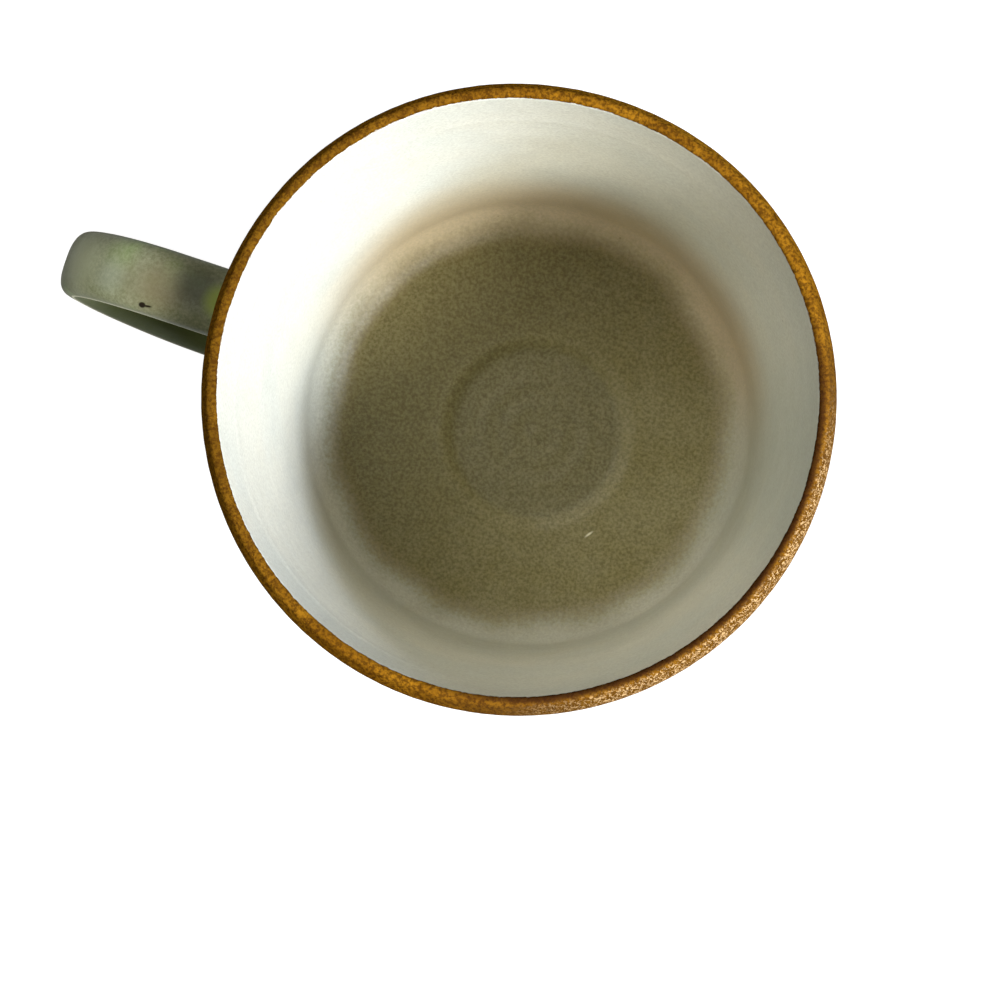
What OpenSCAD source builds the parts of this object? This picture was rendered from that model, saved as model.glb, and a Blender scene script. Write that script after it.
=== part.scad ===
// Stoneware mug: a wheel-thrown body with a turned foot ring, a pulled strap handle
// that is stuck on with slip, and a coat of glaze laid in six zones.
//
// Frame: millimetres, +Z up, handle towards +X, origin at the centre of the plane
// that the foot ring stands on. Outside sizes are those of the glazed mug.

/* [Body] */
// Height from the foot to the crest of the lip
mug_h = 92; // [76:1:112]
// Largest diameter, at the shoulder just below the lip
mug_d = 86; // [70:1:104]
// How far the wall draws in, on the radius, from the shoulder to the heel
taper = 1.4; // [0.4:0.1:3]
// Thickness of the wall
wall = 3.6; // [3:0.1:4.6]
// Thickness of the floor above the foot recess
floor_t = 5.6; // [4:0.1:7]

/* [Lip] */
// Thickness of the rounded lip
lip_t = 1.6; // [1.4:0.1:2.8]
// Height of the thinned lip, from its crest down to the shoulder
lip_drop = 9.2; // [6:0.1:12]

/* [Foot] */
// How far the foot ring is set in from the shoulder, on the radius
foot_inset = 12; // [10:0.5:15]
// Width of the foot ring
foot_w = 4; // [3:0.1:5]
// Depth of the recess inside the foot ring
foot_h = 3.2; // [2:0.1:4]
// Radius of the heel, between the wall and the foot ring
heel_r = 15; // [12:0.5:18]

/* [Inside] */
// Radius between the inside wall and the floor
corner_r = 6.5; // [4:0.1:9]
// Diameter of the shallow well in the floor
well_d = 32; // [24:1:40]
// Depth of the well
well_drop = 0.6; // [0.2:0.1:1]

/* [Glaze] */
// Thickness of the glaze coat
glaze = 0.4; // [0.2:0.05:0.6]
// How far the brown rim band reaches down inside
band_in = 1.1; // [0.8:0.1:4]
// How far the brown rim band reaches down outside
band_out = 11; // [9:0.1:14]
// How far the floor glaze climbs the inside corner
floor_glaze_rise = 0.8; // [0.6:0.1:3]
// Height of the bare clay above the foot recess's roof, where the outside glaze stops
bare_h = 1.2; // [0.6:0.1:3]

/* [Handle] */
// Width of the strap
strap_w = 10; // [8:0.1:14]
// Thickness of the strap
strap_t = 6; // [5:0.1:7.5]
// Radius on the strap's four edges, as far as its thickness allows
strap_edge = 2.6; // [1.4:0.1:3.4]
// How far the handle stands out from the shoulder
reach = 28.7; // [24:0.1:36]
// Distance from the lip's crest down to the middle of the strap's upper root
top_drop = 17; // [16:0.5:21]
// Height of the middle of the strap where its lower end turns in to the wall
low_turn_h = 29; // [26:0.5:32]
// Radius of the strap's upper bend, along its middle
knuckle_r = 17; // [12:0.5:19]
// Radius of the strap's lower bend, along its middle
curl_r = 14; // [9:0.5:15]
// Sideways lean of the handle about its upper root, in degrees
lean = 2.2; // [-3:0.1:3]
// Size of the slip coil that seals each root, measured out from the strap and the wall
coil = 1.6; // [1:0.1:2]

/* [Hidden] */
$fn = 96;

// Steps that stand for the round stretches of the body's outline
heel_steps = 10;
shoulder_steps = 6;
lip_steps = 14;
corner_steps = 10;

// Steps along the strap's three arcs, and round each of its four edges
knuckle_steps = 12;
palm_steps = 6;
curl_steps = 6;
edge_steps = 5;

// Outside radii
mug_r = mug_d / 2;
foot_r = mug_r - foot_inset;
recess_r = foot_r - foot_w;
foot_chamfer = 0.5;

// Least flat that is left across the strap's thickness between two rounded edges
face_w = 0.6;

// Lip: a circle whose inner side lines up with the inside wall
lip_r = lip_t / 2;
lip_c = [mug_r - wall + lip_r, mug_h - lip_r];

// Shoulder: the arc that is vertical at the largest diameter and runs into the lip's circle
shoulder_z = mug_h - lip_drop;
shoulder_in = mug_r - lip_c.x;
shoulder_up = lip_c.y - shoulder_z;
shoulder_r = (shoulder_in ^ 2 + shoulder_up ^ 2 - lip_r ^ 2) / (2 * (shoulder_in - lip_r));
shoulder_c = [mug_r - shoulder_r, shoulder_z];
lip_angle = atan2(shoulder_up, lip_c.x - shoulder_c.x);

// Heel: the arc from the wall down to the top of the foot ring
heel_x = mug_r - taper - heel_r;
heel_c = [heel_x, foot_h + sqrt(heel_r ^ 2 - (foot_r - heel_x) ^ 2)];
heel_angle = atan2(foot_h - heel_c.y, foot_r - heel_c.x);

// Inside corner and floor
floor_z = foot_h + floor_t;
corner_c = [mug_r - taper - wall - corner_r, floor_z + corner_r];
well_r = well_d / 2;
well_slope = 2;

// Directions that the two straight stretches of wall face
outer_angle = facing(heel_c, heel_r, shoulder_c, shoulder_r);
inner_angle = 360 + facing(lip_c, lip_r, corner_c, -corner_r);

// Height at which the floor glaze meets the wall glaze
glaze_seam_z = floor_z + floor_glaze_rise;

// Handle: centre line of the strap in the XZ plane. It runs level out of the wall, turns down
// through three arcs, each of which carries on from the one before, and rises straight to the wall.
root_x = mug_r - taper - wall;
edge_r = min(strap_edge, (strap_t - face_w) / 2);
out_x = mug_r + reach - strap_t / 2;
palm_end = -35;
curl_end = -80;
tail_slope = 90 + curl_end;
upper_root_z = mug_h - top_drop;
curl_fall = curl_r * (sin(palm_end) - sin(curl_end));
palm_r = (upper_root_z - knuckle_r - low_turn_h - curl_fall) / sin(-palm_end);
knuckle_c = [out_x - knuckle_r, upper_root_z - knuckle_r];
palm_c = next_centre(knuckle_c, knuckle_r, palm_r, 0);
curl_c = next_centre(palm_c, palm_r, curl_r, palm_end);
tail = curl_c + curl_r * [cos(curl_end), sin(curl_end)];

// Where the strap's middle starts and ends, inside the wall. A solid that is moved out by t starts
// t further out, so that no two of them share an end face.
function upper_root(t) = [root_x + t, upper_root_z];
function lower_root(t) = [root_x + t, tail.y - (tail.x - root_x - t) * tan(tail_slope)];

// Each stop on the centre line, with the angle that the strap's outer face looks at there
function strap_line(t) = concat(
    [[upper_root(t), 90]],
    stops(knuckle_c, knuckle_r, 90, 0, knuckle_steps),
    stops(palm_c, palm_r, 0, palm_end, palm_steps, 1),
    stops(curl_c, curl_r, palm_end, curl_end, curl_steps, 1),
    [[lower_root(t), curl_end]]
);

function stops(centre, r, from, to, steps, first = 0) =
    [for (i = [first:steps]) let (a = from + (to - from) * i / steps) [centre + r * [cos(a), sin(a)], a]];

// Centre of the arc that carries on from another one at angle a
function next_centre(centre, r, next_r, a) = centre + (r - next_r) * [cos(a), sin(a)];

// Direction that a straight line faces when it runs from one circle on to the next and touches
// both, with the line's open side on its right; a circle that the line hollows out is negative.
function facing(c1, r1, c2, r2) =
    atan2(c2.y - c1.y, c2.x - c1.x) - acos((r1 - r2) / norm(c2 - c1));

function arc(centre, r, from, to, steps, first = 0) =
    [for (i = [first:steps]) let (a = from + (to - from) * i / steps) centre + r * [cos(a), sin(a)]];

function reversed(points) = [for (i = [len(points) - 1:-1:0]) points[i]];

// Outside of the body from the foot to the lip, moved out by t
function outer_line(t) = concat(
    arc(heel_c, heel_r + t, heel_angle, outer_angle, heel_steps),
    arc(shoulder_c, shoulder_r + t, outer_angle, lip_angle, shoulder_steps),
    arc(lip_c, lip_r + t, lip_angle, inner_angle, lip_steps, 1)
);

// Inside of the body from the wall's foot to the middle of the floor, moved into the hollow by t
function inner_line(t) = concat(
    arc(corner_c, corner_r - t, inner_angle + 180, 270, corner_steps),
    [
        [well_r + well_slope / 2, floor_z + t],
        [well_r - well_slope / 2, floor_z - well_drop + t],
        [0, floor_z - well_drop + t]
    ]
);

// Turned foot ring and its recess, from the axis out to the heel
foot_line = [
    [0, foot_h + glaze],
    [recess_r, foot_h + glaze],
    [recess_r, foot_chamfer],
    [recess_r + foot_chamfer, 0],
    [foot_r - foot_chamfer, 0],
    [foot_r, foot_chamfer],
    [foot_r, foot_h]
];

// The whole outside of the body as one solid, with its surface moved out by t
module envelope(t) {
    line = outer_line(t);
    rotate_extrude()
        polygon(concat([[0, line[0].y]], line, [[0, mug_h + t]]));
}

// The glaze coat on the body, cut to the part of its section that the children cover
module coat() {
    rotate_extrude()
        intersection() {
            polygon(concat(
                outer_line(0), inner_line(0), reversed(inner_line(-glaze)), reversed(outer_line(-glaze))
            ));
            children();
        }
}

// A layer of the section plane between two heights
module layer(z_from, z_to) {
    translate([0, z_from])
        square([mug_d, z_to - z_from]);
}

// The side of the section plane that holds the hollow, as far as the middle of the wall and floor
module hollow_side() {
    mid_wall = corner_c + [corner_r + wall / 2, 0];
    top = mug_h + lip_t;
    polygon([[0, top], [lip_c.x, top], lip_c, mid_wall, [0, mid_wall.y]]);
    translate(corner_c)
        circle(corner_r + wall / 2);
    translate([0, floor_z - floor_t / 2])
        square([corner_c.x, corner_r + floor_t / 2]);
}

module inside_layer(z_from, z_to) {
    intersection() {
        layer(z_from, z_to);
        hollow_side();
    }
}

module outside_layer(z_from, z_to) {
    difference() {
        layer(z_from, z_to);
        hollow_side();
    }
}

// Section of the strap, thickness along X and width along Y, grown by t
function section_points(t) =
    let (x = strap_t / 2 - edge_r, y = strap_w / 2 - edge_r, sides = [[1, 1], [-1, 1], [-1, -1], [1, -1]])
    [
        for (i = [0:3])
            each arc([sides[i].x * x, sides[i].y * y], edge_r + t, 90 * i, 90 * (i + 1), edge_steps)
    ];

// A straight length of strap between two points of the XZ plane, with its surface moved out by t
module straight(from, to, t) {
    run = to - from;
    translate([from.x, 0, from.y])
        rotate([0, -atan2(run.y, run.x), 0])
            rotate([0, 90, 0])
                linear_extrude(norm(run))
                    polygon(section_points(t));
}

// The strap from root to root, with its surface moved out by t: rings of points along the
// centre line, joined by a face from each edge to the same edge of the next ring
module strap(t) {
    section = section_points(t);
    edges = len(section);
    last = len(strap_line(t)) - 1;
    points = [
        for (stop = strap_line(t), corner = section)
            let (at = stop[0] + corner.x * [cos(stop[1]), sin(stop[1])])
            [at.x, corner.y, at.y]
    ];
    sides = [
        for (i = [0:last - 1], j = [0:edges - 1])
            let (k = (j + 1) % edges)
            [i * edges + j, i * edges + k, (i + 1) * edges + k, (i + 1) * edges + j]
    ];
    upper_end = [for (j = [edges - 1:-1:0]) j];
    lower_end = [for (j = [0:edges - 1]) last * edges + j];
    leaning()
        polyhedron(points, concat(sides, [upper_end, lower_end]));
}

// Tips the children sideways about the upper root
module leaning() {
    translate([0, 0, upper_root_z])
        rotate([lean, 0, 0])
            translate([0, 0, -upper_root_z])
                children();
}

// The thickened end of the strap, as far out as its slip coil reaches, given where the strap's
// straight end starts and stops
module joint(from, to, t) {
    intersection() {
        leaning()
            straight(from, to, coil + t);
        envelope(coil + t);
    }
}

module upper_joint(t) {
    joint(upper_root(t), [knuckle_c.x, upper_root_z], t);
}

module lower_joint(t) {
    joint(lower_root(t), tail, t);
}

// Thrown and turned clay: wall, floor and foot ring in one
module thrown_body() {
    color([0.72, 0.62, 0.5])
        rotate_extrude()
            polygon(concat(foot_line, outer_line(-glaze), inner_line(-glaze)));
}

// Pulled clay strap, cut to fit the wall
module strap_handle() {
    color([0.7, 0.6, 0.48])
        difference() {
            strap(-glaze);
            envelope(-glaze);
        }
}

// Coil of clay and slip worked in around the strap's upper root
module upper_slip_coil() {
    color([0.66, 0.56, 0.45])
        difference() {
            upper_joint(-glaze);
            envelope(-glaze);
            strap(-glaze);
        }
}

// The same around its lower root
module lower_slip_coil() {
    color([0.66, 0.56, 0.45])
        difference() {
            lower_joint(-glaze);
            envelope(-glaze);
            strap(-glaze);
        }
}

// Iron-brown band over the lip
module rim_glaze() {
    color([0.5, 0.31, 0.1])
        difference() {
            coat() {
                outside_layer(mug_h - band_out, mug_h + glaze);
                inside_layer(mug_h - band_in, mug_h + glaze);
            }
            upper_joint(0);
        }
}

// White glaze on the inside wall
module inner_wall_glaze() {
    color([0.92, 0.92, 0.86])
        coat()
            inside_layer(glaze_seam_z, mug_h - band_in);
}

// Olive glaze on the floor
module floor_glaze() {
    color([0.43, 0.41, 0.26])
        coat()
            inside_layer(0, glaze_seam_z);
}

// Sage glaze on the outside wall, open at the two roots of the handle
module outer_wall_glaze() {
    color([0.55, 0.59, 0.47])
        difference() {
            coat()
                outside_layer(foot_h + bare_h, mug_h - band_out);
            upper_joint(0);
            lower_joint(0);
        }
}

// Sage glaze over the strap and its two coils
module handle_glaze() {
    color([0.58, 0.62, 0.5])
        difference() {
            union() {
                strap(0);
                upper_joint(0);
                lower_joint(0);
            }
            strap(-glaze);
            upper_joint(-glaze);
            lower_joint(-glaze);
            envelope(-glaze);
        }
}

// Sage glaze on the roof of the foot recess
module foot_recess_glaze() {
    color([0.53, 0.57, 0.45])
        translate([0, 0, foot_h])
            cylinder(r = recess_r, h = glaze);
}

thrown_body();
strap_handle();
upper_slip_coil();
lower_slip_coil();
rim_glaze();
inner_wall_glaze();
floor_glaze();
outer_wall_glaze();
handle_glaze();
foot_recess_glaze();
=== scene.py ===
"""Stoneware mug: the looks, built round the part's frame.

Every piece of clay and every zone of glaze is a closed mesh of its own, made by sweeping a line.
Sizes are in millimetres until a mesh is made. +Z is up, and the handle points along +X.
"""

import math

import bmesh
import bpy
import numpy as np
from mathutils import Matrix, Vector, noise


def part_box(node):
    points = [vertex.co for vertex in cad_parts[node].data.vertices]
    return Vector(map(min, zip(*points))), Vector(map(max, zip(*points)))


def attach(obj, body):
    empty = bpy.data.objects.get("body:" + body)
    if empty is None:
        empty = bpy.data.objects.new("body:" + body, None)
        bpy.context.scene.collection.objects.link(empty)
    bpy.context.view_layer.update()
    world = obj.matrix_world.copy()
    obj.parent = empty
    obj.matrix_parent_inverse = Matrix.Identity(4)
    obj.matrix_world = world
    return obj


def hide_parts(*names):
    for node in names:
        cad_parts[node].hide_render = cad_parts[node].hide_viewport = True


MM = 0.001
FULL_TURN = 2 * math.pi

# ---------------------------------------------------------------------------------------------
# Sizes from the frame
# ---------------------------------------------------------------------------------------------

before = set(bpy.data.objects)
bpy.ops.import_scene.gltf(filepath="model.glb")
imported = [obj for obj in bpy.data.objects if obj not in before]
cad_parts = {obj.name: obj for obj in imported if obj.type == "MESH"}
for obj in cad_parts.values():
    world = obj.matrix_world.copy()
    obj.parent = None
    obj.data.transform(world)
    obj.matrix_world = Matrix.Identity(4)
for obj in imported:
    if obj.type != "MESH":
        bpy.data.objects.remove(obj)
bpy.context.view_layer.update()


def lowest(node):
    """Lowest corner of a node's box, in millimetres."""
    return np.array(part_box(node)[0]) / MM


def highest(node):
    """Highest corner of a node's box, in millimetres."""
    return np.array(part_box(node)[1]) / MM


MUG_R, _, MUG_H = highest("rim_glaze")
BAND_LOW = lowest("rim_glaze")[2]
BAND_IN = highest("inner_wall_glaze")[2]
SEAM_Z = lowest("inner_wall_glaze")[2]
GLAZE_FOOT = lowest("outer_wall_glaze")[2]
RECESS_R = highest("foot_recess_glaze")[0]
FOOT_H = lowest("foot_recess_glaze")[2]
GLAZE = highest("foot_recess_glaze")[2] - FOOT_H
REACH_X = highest("handle_glaze")[0]

# Sizes of the cup that no box of the frame gives
WALL = 3.45  # thickness with its glaze
TAPER = 1.4  # how far the wall draws in from the shoulder to the heel
LIP_R = 0.8  # round of the crest
LIP_DROP = 9.2  # from the crest down to the shoulder
FOOT_W = 4.0  # width of the foot ring
FOOT_EDGE = 0.9  # round of its edges
HEEL_R = 15.0  # round between the foot and the wall
CORNER_R = 6.5  # round between the wall and the floor inside
WELL_DROP = 0.6  # depth of the well pressed into the floor
WELL_R = 15.5
WELL_MIDDLE = (-1.7, 0.8, 0)
FLOOR_Z = lowest("floor_glaze")[2] + GLAZE + WELL_DROP
ROOF_Z = FOOT_H + GLAZE
FOOT_R = RECESS_R + FOOT_W
LIP_MIDDLE = MUG_R - WALL + LIP_R

# Sizes of the handle
STRAP_T = 6.0  # thickness with its glaze
STRAP_W = 10.0  # width with its glaze
UPPER_ROOT_Z = MUG_H - 17.0  # height of the upper run's middle line
LOW_TURN_Z = 29.0  # height of the middle line where the curl ends
KNUCKLE_R = 17.0  # bend between the upper run and the palm
CURL_R = 14.0  # bend between the palm and the lower run
PALM_END = -35  # where the palm ends, in degrees
CURL_END = -80  # where the curl ends, in degrees
LEAN = math.radians(2.2)  # to the side, about the upper root
STRAP_SLACK = 0.12  # room for a ridge on each side
RIDGE_OUT = 0.3  # how far outside the middle line the two ridges run
RIDGE_RISE = 0.1
RIDGE_WIDTH = 0.17
FLARE = 2.2  # hollow round where the strap meets the wall
STRAP_POINTS = 176  # points round the section
STATION_STEP = 0.4  # distance between the rings along the strap
HUG_ROUNDS = 6  # steps in which a ring is moved on to the wall

# Marks in the clay
RING_PITCH = 5.2  # throwing rings
RING_RISE = 0.08
RINGS_INSIDE = 0.08  # their share on the inside wall
FINGER_LINE_Z = 78.3  # a line that a finger left inside
FINGER_LINE_RISE = 0.06
WELL_RING_RISE = 0.07  # a ring round the well
WELL_FINGER_PITCH = 4.6  # finger marks in the well
WELL_FINGER_RISE = 0.06
TURNING_RISE = 0.03  # lines that the turning tool left on the foot
FLAT_SIDE = math.radians(-86.5)  # a side that dried flatter: its angle about the axis
FLAT_WIDTH = 0.62  # its reach round the mug, in radians
FLAT_DRAW = 0.6  # how far it is drawn in

# Coats of glaze
SAGE_LEVEL = -0.16  # how far each coat's face lies out from the mug's line
WHITE_LEVEL = -0.14
BAND_LEVEL = -0.03
SUNK = 0.05  # how far each coat's back lies inside the clay
TUCK = 4.0  # how far a wall's coat runs on beneath the next one
BAND_COVER = 1.0  # how far the white coat runs up beneath the band
BAND_EDGE = 1.2  # from the band's lowest run up to its middle edge outside
BAND_INSIDE = 0.8  # from the crest down to the band's edge inside
BAND_RUNS = 13
EDGE_ROOM = 0.4  # how far above its height in the frame the middle of a wavy edge lies

# Distances between the rows of a coat's face and back, and counts of rows and of columns round
# the mug
WALL_STEP = 0.8
FLOOR_STEP = 0.5
BAND_STEP = 0.28
BACK_STEP = 2.0
CLAY_ROWS = 260
CLAY_COLUMNS = 260
WALL_COLUMNS = 400
FLOOR_COLUMNS = 360
BAND_COLUMNS = 1400
RECESS_COLUMNS = 240

# Flecks in the glaze
FLOOR_FLECK = (-16.1, 14.8, 0)
IRON_SPECK = (54.4, 3.8, 77)
IRON_TAIL = (53.6, 3.75, 77)

# ---------------------------------------------------------------------------------------------
# Lines in the section plane
# ---------------------------------------------------------------------------------------------


def arc(centre, radius, start, end, count=80):
    """Points on an arc between two angles in degrees."""
    turn = np.radians(np.linspace(start, end, count))
    return np.c_[centre[0] + radius * np.cos(turn), centre[1] + radius * np.sin(turn)]


def facing(c1, r1, c2, r2):
    """Direction that the straight line between two arcs faces, in degrees."""
    along = math.degrees(math.atan2(c2[1] - c1[1], c2[0] - c1[0]))
    return along - math.degrees(math.acos((r1 - r2) / math.dist(c1, c2)))


def smooth(x, start, end):
    """0 before start, 1 after end, and an even curve in between."""
    t = np.clip((x - start) / (end - start), 0, 1)
    return t * t * (3 - 2 * t)


def bell(x, width):
    """1 at 0, falling away evenly on both sides."""
    return np.exp(-((x / width) ** 2))


class Line:
    """A smooth line in the section plane that can be read at any distance along it."""

    STEP = 0.05

    def __init__(self, points):
        run = np.r_[0, np.cumsum(np.hypot(*np.diff(points, axis=0).T))]
        self.length = run[-1]
        self.run = np.linspace(0, self.length, int(self.length / self.STEP) + 1)
        self.r = np.interp(self.run, run, points[:, 0])
        self.z = np.interp(self.run, run, points[:, 1])
        direction = np.gradient(np.c_[self.r, self.z], axis=0)
        direction /= np.linalg.norm(direction, axis=1)[:, None]
        self.out_r = direction[:, 1]
        self.out_z = -direction[:, 0]
        self.crest = self.run[np.argmax(self.z)]

    def at(self, s, rise):
        """Radius and height at distance s, moved out from the line by rise."""
        r = np.interp(s, self.run, self.r) + rise * np.interp(s, self.run, self.out_r)
        z = np.interp(s, self.run, self.z) + rise * np.interp(s, self.run, self.out_z)
        return r, z

    def outside_at(self, z):
        """Distance along the line at a height on the outside."""
        up = self.run <= self.crest
        return np.interp(z, self.z[up], self.run[up])

    def inside_at(self, z):
        """Distance along the line at a height on the inside wall."""
        down = (self.run >= self.crest) & (self.z > FLOOR_Z + 0.001)
        return np.interp(-z, -self.z[down], self.run[down])


def mug_line():
    """The glazed mug's surface: up the outside, over the lip, down the inside and in to the axis."""
    lip_c = (LIP_MIDDLE, MUG_H - LIP_R)
    shoulder_z = MUG_H - LIP_DROP
    across, up = MUG_R - lip_c[0], lip_c[1] - shoulder_z
    shoulder_r = (across**2 + up**2 - LIP_R**2) / (2 * (across - LIP_R))
    shoulder_c = (MUG_R - shoulder_r, shoulder_z)
    lip_angle = math.degrees(math.atan2(up, lip_c[0] - shoulder_c[0]))
    heel_x = MUG_R - TAPER - HEEL_R
    heel_c = (heel_x, FOOT_H + math.sqrt(HEEL_R**2 - (FOOT_R - heel_x) ** 2))
    heel_angle = math.degrees(math.atan2(FOOT_H - heel_c[1], FOOT_R - heel_x))
    corner_c = (MUG_R - TAPER - WALL - CORNER_R, FLOOR_Z + CORNER_R)
    outer_angle = facing(heel_c, HEEL_R, shoulder_c, shoulder_r)
    inner_angle = 360 + facing(lip_c, LIP_R, corner_c, -CORNER_R)
    bends = [
        arc(heel_c, HEEL_R, heel_angle, outer_angle),
        arc(shoulder_c, shoulder_r, outer_angle, lip_angle),
        arc(lip_c, LIP_R, lip_angle, inner_angle),
        arc(corner_c, CORNER_R, inner_angle + 180, 270),
    ]
    return Line(np.concatenate([*bends, [[0, FLOOR_Z]]]))


MUG = mug_line()

# ---------------------------------------------------------------------------------------------
# Marks of the hand
# ---------------------------------------------------------------------------------------------


def waves(turn, seed, counts, size):
    """A closed wavy line round the mug, as tall as size: whole numbers of waves, added up."""
    rng = np.random.default_rng(seed)
    line = np.zeros_like(turn)
    for count in counts:
        line += rng.uniform(0.4, 1) / math.sqrt(count) * np.sin(count * turn + rng.uniform(0, FULL_TURN))
    return size * line / np.abs(line).max()


def rough(points, wave, seed=0.0):
    """Smooth noise from about -1 to 1 at each point, with features about wave across."""
    flat = points.reshape(-1, 3) / wave + seed
    return np.array([noise.noise(Vector(p)) for p in flat]).reshape(points.shape[:-1])


def throwing_relief(s, turn):
    """How far the potter's fingers left the surface from its true line, outside and inside."""
    outside = 1 - smooth(s, MUG.crest - 14, MUG.crest - 4)
    inside = smooth(s, MUG.crest + 4, MUG.crest + 12)
    spiral = FULL_TURN * s / RING_PITCH + turn
    rings = RING_RISE * np.sin(spiral) + 0.03 * np.sin(2 * spiral + 1.3)
    rings = (outside + RINGS_INSIDE * inside) * (rings - 0.06) * smooth(s, 0, 8)
    return rings + FINGER_LINE_RISE * bell(s - MUG.inside_at(FINGER_LINE_Z), 0.9)


def well_relief(r):
    """The shallow well in the floor, with a slight ring round it and one finger ring inside it."""
    drop = -WELL_DROP * (1 - smooth(r, WELL_R - 1.6, WELL_R + 1.4))
    rim_ring = WELL_RING_RISE * bell(r - WELL_R - 2.0, 0.8)
    finger_ring = WELL_FINGER_RISE * np.cos(FULL_TURN * r / WELL_FINGER_PITCH)
    return drop + rim_ring + finger_ring * (1 - smooth(r, 9, 13))


def settle(points):
    """Draws the mug in on its flatter side and a little all round, most at the lip."""
    x, y, z = np.moveaxis(points, -1, 0)
    turn = np.arctan2(y, x)
    radius = np.hypot(x, y)
    draw = FLAT_DRAW * bell(turn - FLAT_SIDE, FLAT_WIDTH) + 0.02 * (1 + np.cos(3 * turn + 2.0))
    draw = draw * smooth(z, 0, MUG_H) * smooth(radius, 10, 30)
    share = (radius - draw) / np.maximum(radius, 0.001)
    return np.stack([x * share, y * share, z], axis=-1)


def off_centre(points):
    """Moves the middle of the floor off the axis, where the well was pressed."""
    shift = 1 - smooth(np.hypot(points[..., 0], points[..., 1]), 18, 30)
    return points + shift[..., None] * np.array(WELL_MIDDLE)


# ---------------------------------------------------------------------------------------------
# Meshes
# ---------------------------------------------------------------------------------------------


def grid_piece(name, points, material, stands_for, caps=False, marks=None):
    """A closed piece from a grid of points whose rows and columns both join up again.

    With caps, the rows don't join up: each end of the tube is closed by a fan. marks holds two
    values for each point, for the shader: how near a ridge it is, where it paints pale glaze and a
    painted highlight, and how far on the inner face, where it paints shade.
    """
    rows, columns = points.shape[:2]
    corners = settle(points).reshape(-1, 3) * MM
    i = np.arange(rows - 1 if caps else rows)[:, None]
    j = np.arange(columns)[None, :]
    ahead = (i + 1) % rows
    beside = (j + 1) % columns
    quads = np.stack(
        [i * columns + j, ahead * columns + j, ahead * columns + beside, i * columns + beside], axis=-1
    )
    faces = quads.reshape(-1, 4).tolist()
    if caps:
        ends = [corners[:columns].mean(axis=0), corners[-columns:].mean(axis=0)]
        corners = np.concatenate([corners, ends])
        first, last = rows * columns, rows * columns + 1
        start = (rows - 1) * columns
        for k in range(columns):
            after = (k + 1) % columns
            faces.append([first, k, after])
            faces.append([last, start + after, start + k])
    mesh = bpy.data.meshes.new(name)
    mesh.from_pydata(corners.tolist(), [], faces)
    piece = bpy.data.objects.new(name, mesh)
    bpy.context.scene.collection.objects.link(piece)
    if marks is not None:
        for values, label in zip(marks.T, ("ridge", "under")):
            mesh.attributes.new(label, "FLOAT", "POINT").data.foreach_set("value", values.copy())
    tidy(mesh)
    mesh.materials.append(material)
    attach(piece, "root")
    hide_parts(*stands_for)
    return piece


def tidy(mesh):
    """Joins points that lie on each other, turns all faces outwards and shades them smooth."""
    work = bmesh.new()
    work.from_mesh(mesh)
    bmesh.ops.remove_doubles(work, verts=work.verts, dist=0.000001)
    bmesh.ops.recalc_face_normals(work, faces=work.faces)
    work.to_mesh(mesh)
    work.free()
    mesh.polygons.foreach_set("use_smooth", [True] * len(mesh.polygons))
    mesh.update()


def swept(radius, height, turn):
    """Points of a section line at each angle, from arrays with a row per section point."""
    return np.stack([radius * np.cos(turn), radius * np.sin(turn), height], axis=-1)


def around(count):
    """A row of angles evenly round the mug."""
    return np.arange(count)[None, :] * FULL_TURN / count


def edge_roll(distance, width):
    """1 away from a coat's edge, falling to 0 in a quarter round as wide as width, if it has one."""
    if width == 0:
        return 1.0
    t = np.clip(distance / width, 0, 1)
    return np.sqrt(1 - (1 - t) ** 2)


def coat(start, end, rise, step, turn, roll=(0.5, 0.5)):
    """A coat of glaze between two lines on the mug.

    start and end are distances along the mug's line at each angle, and rise gives how far the
    coat's face stands out from that line. Its back lies just inside the clay, and its two edges
    round off within the widths in roll, where 0 leaves an edge square.
    """
    count = int((end - start).max() / step) + 2
    share = np.linspace(0, 1, count)[:, None]
    s = start + (end - start) * share
    full = rise(s, turn)
    back = -GLAZE - SUNK + base_relief(s, turn)
    top = back + (full - back) * edge_roll(s - start, roll[0]) * edge_roll(end - s, roll[1])
    face = MUG.at(s, top)
    share = np.linspace(1, 0, int((end - start).max() / BACK_STEP) + 2)[:, None]
    s_back = start + (end - start) * share
    under = MUG.at(s_back, -GLAZE - SUNK + base_relief(s_back, turn))
    return swept(np.concatenate([face[0], under[0]]), np.concatenate([face[1], under[1]]), turn)


def base_relief(s, turn):
    """The relief that clay and glaze share: throwing marks on the wall, the well on the floor."""
    radius = MUG.at(s, 0)[0]
    on_floor = smooth(s, MUG.inside_at(SEAM_Z), MUG.inside_at(SEAM_Z) + 6)
    return throwing_relief(s, turn) * (1 - on_floor) + well_relief(radius) * on_floor


def coat_face(level, wave, depth, seed):
    """A rise for coat(): a level, the shared relief, and gentle unevenness of the glaze."""

    def rise(s, turn):
        radius, height = MUG.at(s, 0)
        points = swept(radius, height, turn)
        return level + base_relief(s, turn) + depth * rough(points, wave, seed)

    return rise


# ---------------------------------------------------------------------------------------------
# Shaders
# ---------------------------------------------------------------------------------------------


def srgb(red, green, blue):
    """A colour as linear light, from its 0 to 255 values."""
    parts = [c / 255 for c in (red, green, blue)]
    return tuple(c / 12.92 if c < 0.04045 else ((c + 0.055) / 1.055) ** 2.4 for c in parts) + (1.0,)


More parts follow.
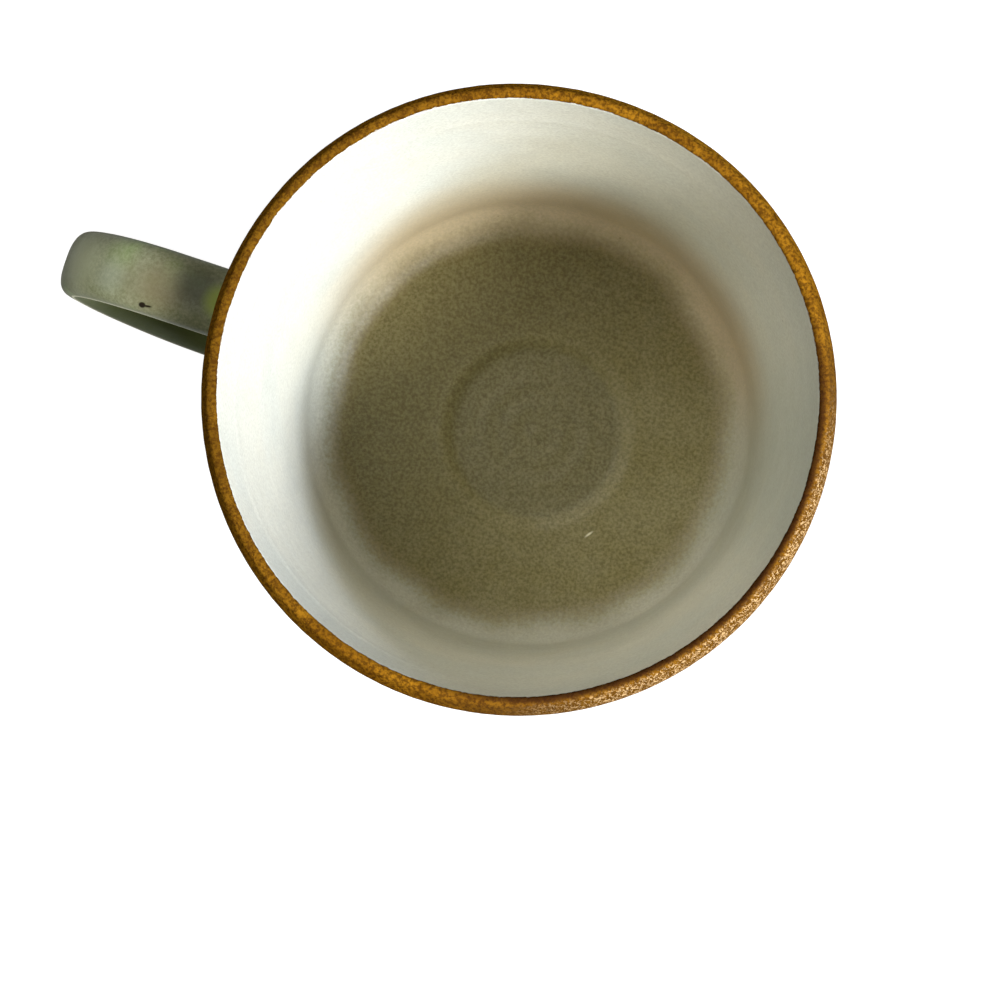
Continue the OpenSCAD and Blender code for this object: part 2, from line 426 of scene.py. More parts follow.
class Shader:
    """One material's node tree, with short calls that add a node and return its output."""

    def __init__(self, name, specular):
        self.material = bpy.data.materials.new(name)
        self.material.use_nodes = True
        self.tree = self.material.node_tree
        self.surface = self.tree.nodes["Principled BSDF"]
        self.surface.inputs["Specular IOR Level"].default_value = specular
        place = self.node("TexCoord").outputs["Object"]
        self.place = self.node("VectorMath", {0: place, "Scale": 1 / MM}, operation="SCALE").outputs[0]
        parts = self.node("SeparateXYZ", {0: self.place}).outputs
        self.x, self.y, self.height = parts["X"], parts["Y"], parts["Z"]

    def node(self, kind, inputs=None, **settings):
        """Adds a node. inputs holds a number or another node's output for each input."""
        made = self.tree.nodes.new("ShaderNode" + kind)
        for key, value in settings.items():
            setattr(made, key, value)
        for key, value in (inputs or {}).items():
            if isinstance(value, bpy.types.NodeSocket):
                self.tree.links.new(value, made.inputs[key])
            else:
                made.inputs[key].default_value = value
        return made

    def moved(self, seed):
        """Places in the mug, moved so that each seed meets another part of a pattern."""
        return self.node("VectorMath", {0: self.place, 1: (seed, seed, seed)}).outputs[0]

    def noise(self, size, detail=2.0, sharp=0.5, seed=0.0, twist=0.0):
        """Noise from 0 to 1 with features about size millimetres across."""
        inputs = {"Vector": self.moved(seed), "Scale": 1 / size, "Detail": detail}
        inputs.update({"Roughness": sharp, "Distortion": twist})
        return self.node("TexNoise", inputs).outputs[0]

    def level(self, value, low, high, out_low=0.0, out_high=1.0):
        """An even curve from out_low, where value is low, to out_high, where it is high."""
        inputs = {"Value": value, "From Min": low, "From Max": high}
        inputs.update({"To Min": out_low, "To Max": out_high})
        return self.node("MapRange", inputs, interpolation_type="SMOOTHSTEP").outputs[0]

    def math(self, operation, first, second=0.0, third=0.0):
        """The result of one sum."""
        return self.node("Math", {0: first, 1: second, 2: third}, operation=operation).outputs[0]

    def mix(self, share, first, second):
        """The first colour where share is 0, the second where it is 1."""
        return self.node("Mix", {0: share, 6: first, 7: second}, data_type="RGBA").outputs[2]

    def spots(self, spacing, size, seed=0.0):
        """Round spots up to size millimetres wide, about spacing apart: 1 inside and 0 outside."""
        cells = self.node("TexVoronoi", {"Vector": self.moved(seed), "Scale": 1 / spacing})
        wide = self.math("MULTIPLY", cells.outputs["Color"], size / spacing)
        return self.math("LESS_THAN", cells.outputs["Distance"], wide)

    def near(self, point, inner, outer, stretch=(1, 1, 1), turn=0.0):
        """1 within inner millimetres of a point, 0 beyond outer, in a shape turned about Z.

        stretch counts each axis more or less: where it is 0, the shape goes on along that axis.
        """
        away = self.node("VectorMath", {0: self.place, 1: point}, operation="SUBTRACT").outputs[0]
        if turn:
            spin = {"Vector": away, "Angle": math.radians(-turn)}
            away = self.node("VectorRotate", spin, rotation_type="Z_AXIS").outputs[0]
        away = self.node("VectorMath", {0: away, 1: stretch}, operation="MULTIPLY").outputs[0]
        return self.level(self.length(away), inner, outer, 1.0, 0.0)

    def length(self, vector):
        """The length of a vector."""
        return self.node("VectorMath", {0: vector}, operation="LENGTH").outputs["Value"]

    def both(self, first, second, share=1.0):
        """The product of two shares, and of a fixed one."""
        product = self.math("MULTIPLY", first, second)
        return product if share == 1.0 else self.math("MULTIPLY", product, share)

    def radius(self):
        """Distance from the mug's axis."""
        return self.length(self.node("CombineXYZ", {"X": self.x, "Y": self.y}).outputs[0])

    def handle_side(self):
        """A distance that grows towards the handle, and to the right looking out along it."""
        return self.math("MULTIPLY_ADD", self.y, -0.5, self.x)

    def paint(self, colour, roughness):
        """Gives the surface its colour and its roughness."""
        self.tree.links.new(colour, self.surface.inputs["Base Color"])
        self.tree.links.new(roughness, self.surface.inputs["Roughness"])

    def bumps(self, *layers):
        """Bump layers, each a height from 0 to 1 and its depth in millimetres."""
        below = None
        for height, depth in layers:
            inputs = {"Height": height, "Distance": depth * MM, "Strength": 1.0}
            if below is not None:
                inputs["Normal"] = below
            below = self.node("Bump", inputs).outputs[0]
        self.tree.links.new(below, self.surface.inputs["Normal"])


def white_colour(sh):
    """Creamy white, stained brown next to the band, with painted shade: warm tan low on one side,
    grey-green on another, darker lower down.
    """
    patches = sh.level(sh.noise(22, 2), 0.35, 0.65)
    colour = sh.mix(patches, srgb(226, 222, 205), srgb(219, 218, 204))
    # Painted shade: warm tan low on the wall's -Y side, where the rim's shadow falls and the olive floor
    # throws warm light
    tan = sh.both(sh.level(sh.height, 46, 14), sh.level(sh.y, 4, -26), 0.68)
    colour = sh.mix(tan, colour, srgb(214, 176, 118))
    # Painted shade: grey-green on the wall's -X side, which faces away from the lamps
    shaded_side = sh.both(sh.level(sh.y, -26, -6), sh.level(sh.y, 18, 2), 0.4)
    colour = sh.mix(sh.both(sh.level(sh.x, -20, -36), shaded_side), colour, srgb(150, 160, 150))
    # Painted shade: darker lower down in the cup
    colour = sh.mix(sh.level(sh.height, 52, 12, 0.0, 0.3), colour, srgb(168, 166, 142))
    grain = sh.level(sh.noise(0.45, 2, 0.7), 0.3, 0.7)
    colour = sh.mix(grain, sh.mix(0.3, colour, srgb(150, 140, 122)), colour)
    colour = sh.mix(sh.math("MULTIPLY", sh.spots(4.5, 0.22), 0.5), colour, srgb(120, 104, 74))
    ragged = sh.math("MULTIPLY_ADD", sh.noise(0.6, 2, 0.6, 15), 1.4, sh.height)
    return sh.mix(sh.level(ragged, MUG_H - 0.5, MUG_H + 0.1, 0.0, 0.8), colour, srgb(112, 76, 28))


def olive_colour(sh):
    """Khaki in clouds under a leathery grain, painted shade darker near the handle, greyer in the ringed
    well.
    """
    clouds = sh.level(sh.noise(13, 3, 0.55, 7), 0.3, 0.7)
    colour = sh.mix(clouds, srgb(141, 129, 76), srgb(156, 145, 100))
    # Painted shade: darker towards the handle's side of the floor
    colour = sh.mix(sh.level(sh.handle_side(), -40, 36), colour, srgb(95, 84, 37))
    well = sh.math("MULTIPLY", sh.near(WELL_MIDDLE, WELL_R - 1.4, WELL_R + 0.4, (1, 1, 0)), 0.7)
    colour = sh.mix(well, colour, srgb(114, 106, 73))
    wide = sh.near(WELL_MIDDLE, WELL_R + 1.6, WELL_R + 3.4, (1, 1, 0))
    narrow = sh.near(WELL_MIDDLE, WELL_R - 0.2, WELL_R + 1.6, (1, 1, 0))
    ring = sh.math("MULTIPLY", sh.math("SUBTRACT", wide, narrow), 0.16)
    colour = sh.mix(ring, colour, srgb(160, 150, 106))
    grain = sh.level(sh.noise(0.55, 3, 0.7), 0.3, 0.7)
    dark, pale = srgb(80, 72, 38), srgb(186, 178, 130)
    colour = sh.mix(grain, sh.mix(0.5, colour, dark), sh.mix(0.2, colour, pale))
    fleck = sh.near(FLOOR_FLECK, 0.1, 0.4, (0.35, 1.4, 0), 54)
    return sh.mix(fleck, colour, srgb(232, 224, 190))


def inside_material(name):
    """The glaze inside the mug: olive on the floor, running out into white in the corner."""
    sh = Shader(name, specular=0.35)
    drift = sh.level(sh.noise(14, 1, 0.4, 3), 0.2, 0.8, -0.9, 0.9)
    fine = sh.level(sh.noise(0.8, 2, 0.6, 5), 0.2, 0.8, -0.5, 0.5)
    edge = sh.math("ADD", sh.math("ADD", sh.radius(), drift), fine)
    whiteness = sh.math("POWER", sh.level(edge, 31.0, 38.6), 1.7)
    rusty = sh.both(sh.level(edge, 31, 33.5), sh.level(edge, 36.5, 34), 0.25)
    olive = sh.mix(rusty, olive_colour(sh), srgb(124, 104, 56))
    colour = sh.mix(whiteness, olive, white_colour(sh))
    sh.paint(colour, sh.level(sh.noise(5, 3), 0.2, 0.8, 0.38, 0.52))
    sh.bumps((sh.noise(1.6, 2), 0.035), (sh.noise(0.45, 2), 0.014))
    return sh.material


# Clouds in the sage glaze along the strap's upper run; the dark ones near the wall, at x 47.5 to 56,
# also stand for the rim's soft shadow on the strap, a painted shadow. Place, reach, strength and colour
STRAP_PATCHES = [
    ((56, 1, 77), 5.0, 0.5, (112, 106, 78)),
    ((52, 0.5, 78), 5.0, 0.6, (120, 108, 74)),
    ((47.5, -1, 78), 4.5, 0.75, (60, 64, 30)),
    ((43.8, 0, 78), 3.4, 0.85, (136, 150, 36)),
    ((60.5, -2.7, 77), 4.5, 0.35, (124, 142, 84)),
    ((61, 1.5, 77), 4.0, 0.4, (150, 154, 132)),
    ((68, 0, 73), 7.5, 0.75, (184, 188, 152)),
]


def sage_material(name):
    """Grey-green glaze in clouds, pale on the strap's ridges with a painted highlight, painted shade
    under it and a painted shadow near its roots, with iron specks.
    """
    sh = Shader(name, specular=0.22)
    clouds = sh.level(sh.noise(9, 3, 0.55, 2, 0.4), 0.32, 0.68)
    colour = sh.mix(clouds, srgb(117, 119, 84), srgb(136, 136, 106))
    green = sh.level(sh.noise(6, 2, 0.5, 11), 0.55, 0.75)
    colour = sh.mix(sh.math("MULTIPLY", green, 0.5), colour, srgb(134, 154, 92))
    grain = sh.level(sh.noise(0.5, 3, 0.7), 0.3, 0.7)
    dark, pale = srgb(78, 82, 52), srgb(196, 196, 168)
    colour = sh.mix(grain, sh.mix(0.42, colour, dark), sh.mix(0.12, colour, pale))
    # Clouds of glaze, and near the wall a painted shadow of the rim
    for place, reach, share, tint in STRAP_PATCHES:
        patch = sh.math("MULTIPLY", sh.near(place, 1, reach), share)
        colour = sh.mix(patch, colour, srgb(*tint))
    # Painted shade: darker on the strap's inner face, under it
    under = sh.node("Attribute", attribute_name="under").outputs["Fac"]
    colour = sh.mix(sh.math("MULTIPLY", under, 0.92), colour, srgb(84, 92, 42))
    # Pale where the glaze breaks thin over the ridges, and a painted highlight along them
    ridge = sh.node("Attribute", attribute_name="ridge").outputs["Fac"]
    colour = sh.mix(ridge, colour, srgb(240, 236, 208))
    colour = sh.mix(sh.spots(11, 0.5, 4), colour, srgb(74, 58, 34))
    speck = sh.near(IRON_SPECK, 0.3, 0.48, (0.75, 1, 0.2), 8)
    tail = sh.near(IRON_TAIL, 0.15, 0.3, (0.3, 1.4, 0.2), 8)
    colour = sh.mix(sh.math("MAXIMUM", speck, tail), colour, srgb(30, 22, 12))
    sh.paint(colour, sh.level(sh.noise(4, 3), 0.2, 0.8, 0.3, 0.46))
    sh.bumps((sh.noise(1.8, 2), 0.04), (sh.noise(0.5, 2), 0.015))
    return sh.material


def iron_material(name):
    """Iron-brown matt glaze: mottled gold, painted lighter on the shaded outer slope and painted darker
    near the handle, with painted glints and painted shade on the far side.
    """
    sh = Shader(name, specular=0.0)
    side, radius = sh.handle_side(), sh.radius()
    far_side = sh.level(side, -18, -34)
    outer = sh.level(radius, LIP_MIDDLE - 0.2, LIP_MIDDLE + 0.8)
    inner = sh.level(radius, LIP_MIDDLE + 0.5, LIP_MIDDLE - 0.3, 0.0, 0.85)
    flow = (1, 1, 0.35)
    sh.place = sh.node("VectorMath", {0: sh.place, 1: flow}, operation="MULTIPLY").outputs[0]
    patches = sh.level(sh.noise(4, 3, 0.6, 1, 0.5), 0.3, 0.7)
    colour = sh.mix(patches, srgb(118, 76, 13), srgb(146, 98, 20))
    # Painted light: lighter gold on the outer slope towards the handle, which faces away from the lamps
    painted_lift = sh.both(outer, sh.level(side, -8, 12), 0.6)
    colour = sh.mix(painted_lift, colour, srgb(184, 128, 30))
    # Painted shade: darker on the handle's side, away from the lamps
    colour = sh.mix(sh.level(sh.x, 6, 38, 0.0, 0.6), colour, srgb(70, 48, 11))
    mottle = sh.level(sh.noise(0.5, 3, 0.7, 9), 0.4, 0.62)
    colour = sh.mix(sh.math("MULTIPLY", mottle, 0.75), colour, srgb(62, 34, 7))
    colour = sh.mix(sh.both(far_side, outer, 0.6), colour, srgb(72, 46, 20))
    # Painted glints: pale streaks on the far side's outer slope, which faces the lamps
    crinkle = sh.level(sh.noise(0.36, 1, 0.5, 4, 1.2), 0.5, 0.62)
    painted_glints = sh.both(sh.both(outer, crinkle), sh.level(side, -30, -44), 0.6)
    colour = sh.mix(painted_glints, colour, srgb(220, 180, 124))
    # Painted shade: dark on the far side's inner slope, which faces away from the lamps
    colour = sh.mix(sh.both(far_side, inner), colour, srgb(56, 30, 14))
    sh.paint(colour, sh.level(sh.noise(1.2, 3), 0.2, 0.8, 0.45, 0.65))
    sh.bumps((sh.noise(1.1, 2, 0.6, 2), 0.12), (crinkle, 0.05))
    return sh.material


def clay_material(name, tint):
    """Fired clay: sandy, matt, with dark grog and paler grains."""
    sh = Shader(name, specular=0.2)
    clouds = sh.level(sh.noise(8, 3), 0.3, 0.7)
    colour = sh.mix(clouds, tint, sh.mix(0.35, tint, srgb(150, 118, 82)))
    grain = sh.level(sh.noise(0.4, 3, 0.75), 0.35, 0.65)
    colour = sh.mix(grain, sh.mix(0.3, colour, srgb(120, 94, 66)), colour)
    colour = sh.mix(sh.spots(2.4, 0.5, 8), colour, srgb(84, 62, 42))
    sh.paint(colour, sh.level(sh.noise(1.5, 2), 0.2, 0.8, 0.75, 0.92))
    sh.bumps((sh.noise(0.8, 3, 0.7), 0.06), (sh.noise(0.25, 2), 0.03))
    return sh.material


# ---------------------------------------------------------------------------------------------
# The cup
# ---------------------------------------------------------------------------------------------


def band_edges(turn):
    """Where the brown band starts outside and ends inside, with runs on the outside."""
    outside = MUG.outside_at(BAND_LOW + BAND_EDGE) + waves(turn, 3, range(2, 15), 0.7)
    outside += waves(turn, 5, range(18, 50, 3), 0.15)
    rng = np.random.default_rng(11)
    for place in np.linspace(0.5, FULL_TURN - 0.5, BAND_RUNS):
        middle = place + rng.uniform(-0.15, 0.15)
        outside -= rng.uniform(0.2, 1.1) * bell(turn - middle, rng.uniform(0.025, 0.06))
    outside = np.maximum(outside, MUG.outside_at(BAND_LOW))
    inside = MUG.inside_at(MUG_H - BAND_INSIDE) + waves(turn, 8, range(3, 90, 4), 0.2)
    inside += waves(turn, 9, range(110, 420, 13), 0.12)
    return outside, inside


def make_rim_band(material):
    """The brown band: up from its runs outside, over the lip and a little way inside."""
    turn = around(BAND_COLUMNS)
    start, end = band_edges(turn)
    rise = coat_face(BAND_LEVEL, 1.3, 0.025, 4.0)
    points = coat(start, end, rise, BAND_STEP, turn, roll=(0.7, 0.35))
    return grid_piece("rim_band", points, material, ["rim_glaze"])


def make_inside_wall(material):
    """The white coat, from beneath the band to beneath the floor's coat."""
    turn = around(WALL_COLUMNS)
    start = np.full_like(turn, MUG.inside_at(BAND_IN) - BAND_COVER)
    end = np.full_like(turn, MUG.inside_at(SEAM_Z) + TUCK)
    points = coat(start, end, coat_face(WHITE_LEVEL, 7, 0.02, 1.0), WALL_STEP, turn)
    return grid_piece("inside_wall", points, material, ["inner_wall_glaze"])


def make_floor(material):
    """The olive coat, from its wavy edge in the corner to the mug's axis."""
    turn = around(FLOOR_COLUMNS)
    start = MUG.inside_at(SEAM_Z) - EDGE_ROOM + waves(turn, 21, range(2, 12), 0.3)
    end = np.full_like(turn, MUG.run[-1])
    wall_face = coat_face(WHITE_LEVEL, 7, 0.02, 1.0)

    def rise(s, turn):
        return wall_face(s, turn) + 0.04 * smooth(s - start, 0, TUCK) - 0.02

    points = coat(start, end, rise, FLOOR_STEP, turn, roll=(0.1, 0))
    return grid_piece("floor_pool", off_centre(points), material, ["floor_glaze"])


def make_outside_wall(material):
    """The sage coat, from its wavy edge over the foot to beneath the band."""
    turn = around(WALL_COLUMNS)
    start = MUG.outside_at(GLAZE_FOOT) + EDGE_ROOM + waves(turn, 31, range(2, 16), 0.35)
    end = np.full_like(turn, MUG.outside_at(BAND_LOW) + TUCK)
    points = coat(start, end, coat_face(SAGE_LEVEL, 8, 0.025, 3.0), WALL_STEP, turn, roll=(0.8, 0.5))
    return grid_piece("outside_wall", points, material, ["outer_wall_glaze"])


def make_clay_body(material):
    """Wall, floor and foot ring, with turning lines on the foot."""
    turn = around(CLAY_COLUMNS)
    s = np.linspace(0, MUG.run[-1], CLAY_ROWS)[:, None] + 0 * turn
    radius, height = MUG.at(s, -GLAZE + base_relief(s, turn))
    roof = [[0, ROOF_Z], [RECESS_R - 1.2, ROOF_Z], [RECESS_R, ROOF_Z - 1.0]]
    inner = arc((RECESS_R + FOOT_EDGE, FOOT_EDGE), FOOT_EDGE, 180, 270, 8)
    outer = arc((FOOT_R - FOOT_EDGE, FOOT_EDGE), FOOT_EDGE, 270, 360, 8)
    foot = even(np.concatenate([roof, inner, outer, [[FOOT_R, FOOT_H - 0.4]]]), 0.4)
    lines = TURNING_RISE * np.sin(foot[:, :1] * 9.0 + 1.5 * np.sin(turn))
    radius = np.concatenate([foot[:, :1] + 0 * turn, radius])
    height = np.concatenate([foot[:, 1:] + lines * (foot[:, 1:] > 0.02), height])
    points = off_centre_inside(swept(radius, height, turn))
    return grid_piece("clay_body", points, material, ["thrown_body"])


def even(points, step):
    """The same line with points evenly about step apart."""
    run = np.r_[0, np.cumsum(np.hypot(*np.diff(points, axis=0).T))]
    places = np.linspace(0, run[-1], int(run[-1] / step) + 2)
    return np.c_[np.interp(places, run, points[:, 0]), np.interp(places, run, points[:, 1])]


def off_centre_inside(points):
    """off_centre(), for the floor's upper face alone."""
    above = points[..., 2] > ROOF_Z + 1
    return np.where(above[..., None], off_centre(points), points)


def make_recess_pool(material):
    """Glaze that was wiped thin in the foot recess, with an uneven edge."""
    turn = around(RECESS_COLUMNS)
    edge = RECESS_R - 1.6 + waves(turn, 41, range(2, 14), 0.7)
    face_rows = 50
    share = np.r_[np.linspace(0.0001, 1, face_rows), np.linspace(1, 0.0001, 6)][:, None]
    radius = edge * share
    thickness = 0.9 * GLAZE * edge_roll(edge - radius, 1.2)
    on_face = np.arange(len(share))[:, None] < face_rows
    height = np.where(on_face, ROOF_Z - thickness, ROOF_Z + SUNK)
    points = swept(radius, height, turn)
    return grid_piece("foot_recess_pool", points, material, ["foot_recess_glaze"])


# ---------------------------------------------------------------------------------------------
# The handle
# ---------------------------------------------------------------------------------------------


def strap_stations():
    """Places on the strap's middle line, as x, z and the angle that its outer face looks at."""
    out_x = REACH_X - STRAP_T / 2
    knuckle_c = np.array([out_x - KNUCKLE_R, UPPER_ROOT_Z - KNUCKLE_R])
    palm_end, curl_end = math.radians(PALM_END), math.radians(CURL_END)
    fall = CURL_R * (math.sin(palm_end) - math.sin(curl_end))
    palm_r = (UPPER_ROOT_Z - KNUCKLE_R - LOW_TURN_Z - fall) / math.sin(-palm_end)
    palm_c = knuckle_c + np.array([KNUCKLE_R - palm_r, 0])
    curl_c = palm_c + (palm_r - CURL_R) * np.array([math.cos(palm_end), math.sin(palm_end)])
    arcs = [
        (knuckle_c, KNUCKLE_R, 90, 0),
        (palm_c, palm_r, 0, PALM_END),
        (curl_c, CURL_R, PALM_END, CURL_END),
    ]
    stations = []
    for centre, radius, start, end in arcs:
        count = int(radius * math.radians(start - end) / STATION_STEP)
        for angle in np.linspace(start, end, count, endpoint=end == CURL_END):
            turn = math.radians(angle)
            x = centre[0] + radius * math.cos(turn)
            z = centre[1] + radius * math.sin(turn)
            stations.append((x, z, angle))
    return stations


def strap_section(inset):
    """The strap's section, drawn in by inset, from which all its rings are made.

    It returns each point's place across the thickness and the width, the way out from there, and
    two marks: how near a ridge the point is, and how far it lies on the inner face. The shader
    paints pale glaze and a painted highlight on the ridges, and painted shade on the inner face.
    """
    turn = np.linspace(0, FULL_TURN, 4000, endpoint=False)
    half = STRAP_W / 2 - STRAP_SLACK
    outer_half = np.sin(turn) >= 0
    square = np.where(outer_half, np.where(np.cos(turn) > 0, 3.0, 2.6), 2.2)
    across = np.abs(np.cos(turn)) ** (2 / square) * np.sign(np.cos(turn))
    depth = np.where(outer_half, STRAP_T / 2 - RIDGE_OUT, -STRAP_T / 2 - RIDGE_OUT)
    points = np.c_[RIDGE_OUT + depth * np.abs(np.sin(turn)) ** (2 / square), half * across]
    closed = np.r_[points, points[:1]]
    run = np.r_[0, np.cumsum(np.hypot(*np.diff(closed, axis=0).T))]
    places = np.linspace(0, run[-1], STRAP_POINTS, endpoint=False)
    section = np.c_[np.interp(places, run, closed[:, 0]), np.interp(places, run, closed[:, 1])]
    ridge_places = [0, run[-1], np.interp(math.pi, turn, run[:-1])]
    ridge = sum(bell(places - place, RIDGE_WIDTH) for place in ridge_places)
    ahead = np.roll(section, -1, axis=0) - np.roll(section, 1, axis=0)
    out = np.c_[ahead[:, 1], -ahead[:, 0]]
    out /= np.linalg.norm(out, axis=1)[:, None]
    out *= np.sign((out * section).sum(axis=1))[:, None]
    # How far on the inner face, where the shader paints shade under the strap
    under = 1 - smooth(section[:, 0], RIDGE_OUT - 0.9, RIDGE_OUT - 0.1)
    return section + out * (RIDGE_RISE * ridge - inset)[:, None], out, np.c_[ridge, under]


def leaning(points):
    """Tips points sideways about the upper root."""
    x, y, z = np.moveaxis(points, -1, 0)
    up = z - UPPER_ROOT_Z
    cos, sin = math.cos(LEAN), math.sin(LEAN)
    return np.stack([x, y * cos - up * sin, UPPER_ROOT_Z + y * sin + up * cos], axis=-1)


def ring(station, section):
    """The section's points about one place on the middle line."""
    x, z, angle = station
    turn = math.radians(angle)
    thick, wide = section[:, 0], section[:, 1]
    return np.stack([x + thick * math.cos(turn), wide, z + thick * math.sin(turn)], axis=-1)


def wall_radius(z):
    """Radius of the glazed outside wall at a height."""
    return np.interp(z, MUG.z[MUG.run < MUG.crest], MUG.r[MUG.run < MUG.crest]) + SAGE_LEVEL


def root_rings(station, section, out, flare, distances, length):
    """Rings between the wall and a place on the strap, which hug the wall and widen towards it.

    distances are how far out from the wall the rings lie. The furthest, length away, is the
    station's own flat ring.
    """
    turn = math.radians(station[2])
    away = np.array([math.sin(turn), 0, -math.cos(turn)]) * (1 if turn > 0 else -1)
    rings = []
    for d in distances:
        flat = leaning(ring(station, section + out * quarter_round(d, flare)))
        slide = d - length
        hug = np.full(len(flat), slide)
        for _ in range(HUG_ROUNDS):
            at = flat + hug[:, None] * away
            gap = np.hypot(at[:, 0], at[:, 1]) - wall_radius(at[:, 2]) - d
            hug = hug - gap
        share = smooth(d, flare, length)
        rings.append(flat + (share * slide + (1 - share) * hug)[:, None] * away)
    return rings


def quarter_round(distance, radius):
    """How far a hollow quarter round of this radius stands out, at a distance from the wall."""
    rest = max(radius - distance, 0)
    return radius - math.sqrt(max(radius**2 - rest**2, 0))


def root_length(stations, upper):
    """How far the straight stretch between the wall and the strap's first or last station runs."""
    if upper:
        return stations[0][0] - MUG_R
    return (stations[-1][0] - MUG_R + TAPER) / math.cos(math.radians(90 + CURL_END))


def root_distances(flare, length, sunk=0.12):
    """Distances from the wall, close together where the flare curves."""
    turn = np.linspace(0, math.pi / 2, 12)
    near = (flare + sunk) * (1 - np.cos(turn)) - sunk
    far = np.linspace(flare, length, 14)
    return np.r_[near[:-1], far[:-1]]


def strap_rings(inset, flare):
    """All rings of the strap from the upper root to the lower one."""
    section, out, marks = strap_section(inset)
    stations = strap_stations()
    upper, lower = root_length(stations, True), root_length(stations, False)
    start = root_rings(stations[0], section, out, flare, root_distances(flare, upper), upper)
    end = root_rings(stations[-1], section, out, flare, root_distances(flare, lower), lower)
    middle = [leaning(ring(station, section)) for station in stations]
    return np.array(start + middle + end[::-1]), marks


def make_handle_skin(material):
    """The glaze over the strap: a hollow skin whose ends widen on to the wall."""
    face, marks = strap_rings(0.0, FLARE)
    back = strap_rings(GLAZE, FLARE - GLAZE)[0][::-8]
    points = np.concatenate([face, back])
    marks = np.tile(marks, (len(points), 1))
    return grid_piece("handle_skin", points, material, ["handle_glaze"], marks=marks)


def make_handle_clay(material):
    """The pulled strap under its glaze."""
    rings = strap_rings(GLAZE + 0.02, 0.0)[0][::4]
    return grid_piece("handle_clay", rings, material, ["strap_handle"], caps=True)


def make_slip_coil(name, node, upper, material):
    """Slip that fills the flare between the strap and the wall at one root."""
    section, out, _ = strap_section(GLAZE + 0.02)
    stations = strap_stations()
    station = stations[0] if upper else stations[-1]
    length = root_length(stations, upper)
    flare = FLARE - GLAZE
    distances = [d for d in root_distances(flare, length) if d <= flare]
    wide = root_rings(station, section, out, flare, distances, length)
    narrow = root_rings(station, section - out * 0.05, out, 0.0, distances[::-1], length)
    return grid_piece(name, np.array(wide + narrow), material, [node])


# ---------------------------------------------------------------------------------------------
# Floor, light and camera
# ---------------------------------------------------------------------------------------------

# Soft boxes, in metres and watts: name, azimuth, elevation, width, height, power and colour
LIGHT_DISTANCE = 1.0
LIGHTS = [
    ("window_near", 181, 46, 0.24, 0.15, 10.4, (0.84, 0.99, 1.3)),
    ("window_middle", 158, 48, 0.24, 0.2, 7.7, (0.98, 1.0, 0.99)),
    ("window_far", 145, 50, 0.24, 0.2, 6.8, (0.98, 1.0, 0.99)),
    ("ceiling", -26, 66, 0.7, 0.5, 2.4, (1.0, 1.0, 1.0)),
]

# The white table top, in metres, and how far below the foot it lies, in millimetres
TABLE_SIZE = 6
TABLE_DROP = 0.2
TABLE_COLOUR = (0.25, 0.25, 0.24, 1)
TABLE_SHINE = 0.92

# The camera, in millimetres: how far it stands above the lip and off the axis, and how far off
# straight down its aim lies there. ACROSS is to the right in its view, and UP is to the top.
CAMERA_TURN = math.radians(18.5)
CAMERA_RISE = 240
CAMERA_ACROSS = 6.5
CAMERA_UP = -15.8
AIM_ACROSS = -8.6
AIM_UP = 2.0
SENSOR = 36
LENS = 66.0


def make_stage():
    """A plain table top that shows white and throws little light back, as wide as any view."""
    bpy.ops.mesh.primitive_plane_add(size=TABLE_SIZE, location=(0, 0, -TABLE_DROP * MM))
    table = bpy.context.object
    table.name = "table_top"
    sh = Shader("table_white", specular=0.1)
    sh.surface.inputs["Base Color"].default_value = TABLE_COLOUR
    sh.surface.inputs["Roughness"].default_value = 0.9
    seen = sh.node("LightPath").outputs["Is Camera Ray"]
    sh.surface.inputs["Emission Color"].default_value = (1, 1, 1, 1)
    shine = sh.math("MULTIPLY", seen, TABLE_SHINE)
    sh.tree.links.new(shine, sh.surface.inputs["Emission Strength"])
    table.data.materials.append(sh.material)


def add_light(name, azimuth, elevation, width, tall, power, colour):
    """A soft box that faces the middle of the mug. Azimuth 0 is +X and 90 is +Y."""
    lamp = bpy.data.lights.new(name, "AREA")
    lamp.shape = "RECTANGLE"
    lamp.size, lamp.size_y = width, tall
    lamp.energy = power
    lamp.color = colour
    turn, up = math.radians(azimuth), math.radians(elevation)
    way = Vector((math.cos(turn) * math.cos(up), math.sin(turn) * math.cos(up), math.sin(up)))
    box = bpy.data.objects.new(name, lamp)
    box.location = Vector((0, 0, MUG_H * MM / 2)) + way * LIGHT_DISTANCE
    box.rotation_mode = "QUATERNION"
    box.rotation_quaternion = (-way).to_track_quat("-Z", "Y")
    bpy.context.scene.collection.objects.link(box)


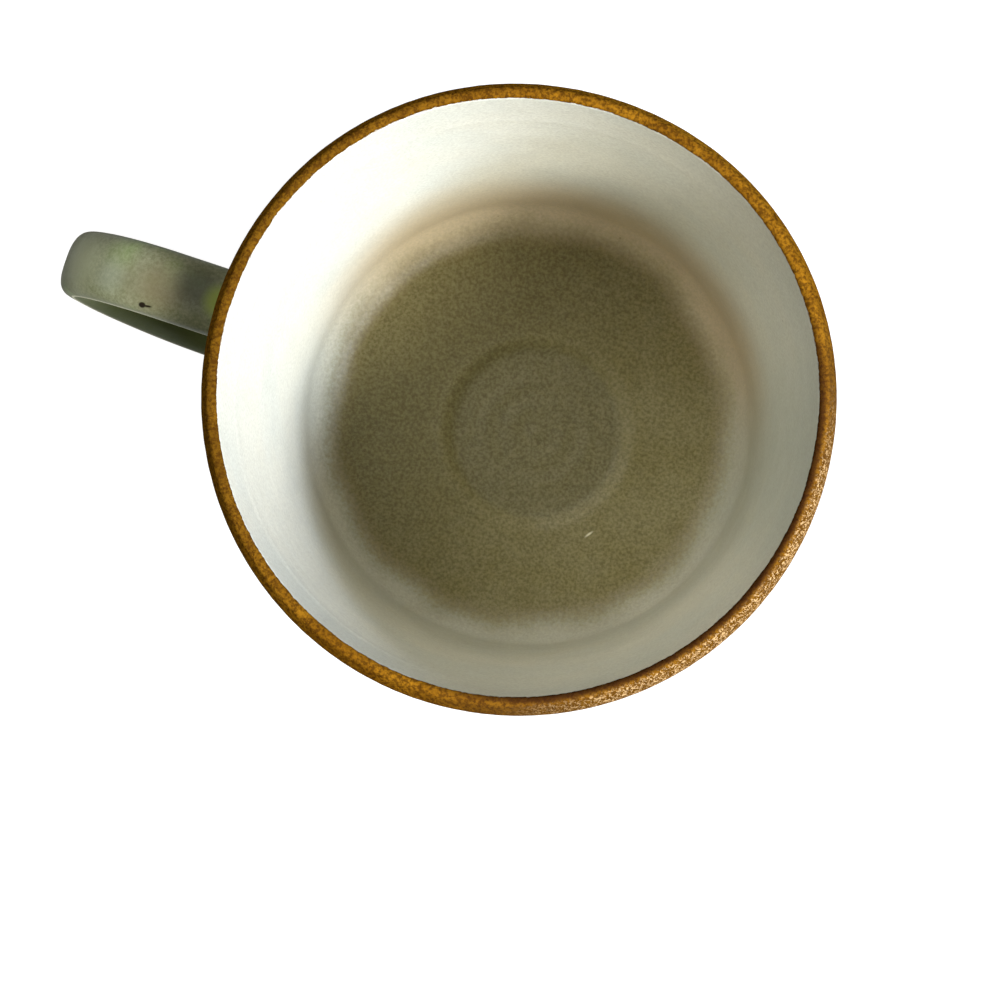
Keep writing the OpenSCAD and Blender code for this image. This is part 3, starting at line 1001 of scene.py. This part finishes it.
def make_world():
    """Weak light from all round, a little stronger from above, in front of a white background."""
    world = bpy.data.worlds.new("room")
    world.use_nodes = True
    nodes, links = world.node_tree.nodes, world.node_tree.links
    background = nodes["Background"]
    background.inputs["Color"].default_value = (1.0, 0.98, 0.95, 1)
    place = nodes.new("ShaderNodeTexCoord").outputs["Generated"]
    parts = nodes.new("ShaderNodeSeparateXYZ")
    brightness = nodes.new("ShaderNodeMapRange")
    limits = {"From Min": -0.1, "From Max": 0.9, "To Min": 0.13, "To Max": 0.22}
    for key, value in limits.items():
        brightness.inputs[key].default_value = value
    seen = nodes.new("ShaderNodeLightPath").outputs["Is Camera Ray"]
    strength = nodes.new("ShaderNodeMath")
    links.new(place, parts.inputs[0])
    links.new(parts.outputs["Z"], brightness.inputs["Value"])
    links.new(seen, strength.inputs[0])
    links.new(brightness.outputs[0], strength.inputs[1])
    links.new(strength.outputs[0], background.inputs["Strength"])
    bpy.context.scene.world = world


def make_camera():
    """Almost straight above the mug, with the handle to the left of the picture."""
    right = Vector((-math.cos(CAMERA_TURN), -math.sin(CAMERA_TURN), 0))
    up = Vector((math.sin(CAMERA_TURN), -math.cos(CAMERA_TURN), 0))
    place = CAMERA_ACROSS * right + CAMERA_UP * up + Vector((0, 0, MUG_H + CAMERA_RISE))
    ahead = (AIM_ACROSS * right + AIM_UP * up - Vector((0, 0, CAMERA_RISE))).normalized()
    side = (right - right.dot(ahead) * ahead).normalized()
    top = side.cross(ahead)
    camera = bpy.data.objects.new("camera", bpy.data.cameras.new("camera"))
    camera.data.sensor_width = SENSOR
    camera.data.lens = LENS
    camera.data.clip_start = 0.01
    camera.location = place * MM
    camera.rotation_mode = "QUATERNION"
    camera.rotation_quaternion = Matrix((side, top, -ahead)).transposed().to_quaternion()
    bpy.context.scene.collection.objects.link(camera)
    bpy.context.scene.camera = camera


make_camera()
for light in LIGHTS:
    add_light(*light)
make_world()
make_stage()
bpy.context.scene.view_settings.view_transform = "Standard"

clay = clay_material("sandy_clay", srgb(190, 160, 122))
slip = clay_material("fired_slip", srgb(178, 148, 112))
make_clay_body(clay)
make_rim_band(iron_material("iron_brown"))
make_inside_wall(inside_material("white_inside"))
make_floor(inside_material("olive_floor"))
make_outside_wall(sage_material("sage_outside"))
make_recess_pool(sage_material("sage_recess"))
make_handle_skin(sage_material("sage_handle"))
make_handle_clay(clay)
make_slip_coil("upper_slip", "upper_slip_coil", True, slip)
make_slip_coil("lower_slip", "lower_slip_coil", False, slip)
